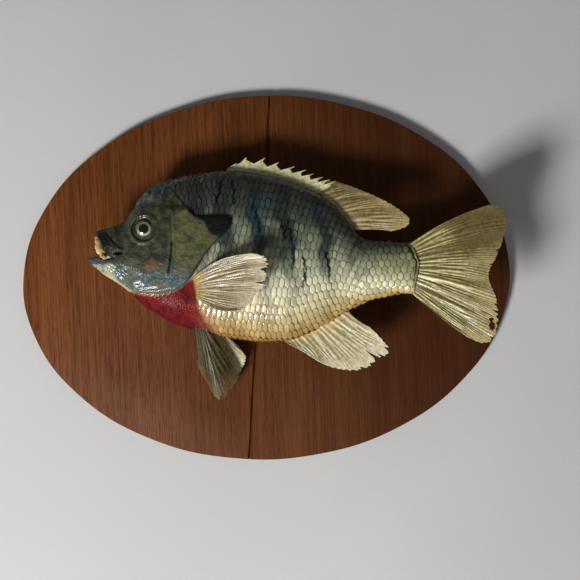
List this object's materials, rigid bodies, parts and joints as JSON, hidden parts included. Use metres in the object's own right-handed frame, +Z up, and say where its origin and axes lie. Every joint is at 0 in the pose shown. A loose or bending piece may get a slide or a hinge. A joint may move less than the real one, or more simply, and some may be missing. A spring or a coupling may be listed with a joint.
{
  "type": "mounted bluegill sunfish on an oval wall board",
  "caption": "Life-size taxidermy bluegill sunfish, mouth open and tail swung out from the wall, fixed to an oval grooved wood board that hangs flat against a wall.",
  "frame": {"origin": "centre of the board's back face, where it meets the wall", "axes": "+X along the board's long axis from the fish's snout to its tail, +Y into the wall, +Z up"},
  "size_m": [0.305, 0.0585, 0.228],
  "materials": {
    "board_wood": "reddish-brown mahogany-faced panel, satin oiled, fine upright grain",
    "steel": "plain bright steel",
    "skin": "real fish skin, painted and varnished to a high gloss",
    "lip": "dark varnished lip",
    "mouth_lining": "dried tan and cream membrane, ragged, varnished",
    "glass_eye": "opaque glass taxidermy eye: black pupil, silver ring, dark iris",
    "ear_flap": "black painted skin, satin varnish",
    "fin": "dried translucent fin skin on rays, straw coloured, varnished",
    "dark_fin": "dried olive-black fin skin with a pale leading edge, varnished"
  },
  "bodies": {
    "root": {"board": "board_wood", "hanger": "steel", "hanger_nail_left": "steel", "hanger_nail_right": "steel", "screw_1": "steel", "screw_2": "steel", "head": "skin", "upper_jaw": "lip", "lower_jaw": "skin", "mouth_lining": "mouth_lining", "eye_left": "glass_eye", "eye_right": "glass_eye", "gill_cover_left": "skin", "gill_cover_right": "skin", "ear_flap_left": "ear_flap", "ear_flap_right": "ear_flap", "trunk": "skin", "tail_stem": "skin", "dorsal_fin_spiny": "fin", "dorsal_fin_soft": "fin", "anal_fin": "fin", "tail_fin": "fin", "pectoral_fin_left": "fin", "pectoral_fin_right": "fin", "pelvic_fin_left": "dark_fin", "pelvic_fin_right": "dark_fin"}
  },
  "joints": []
}
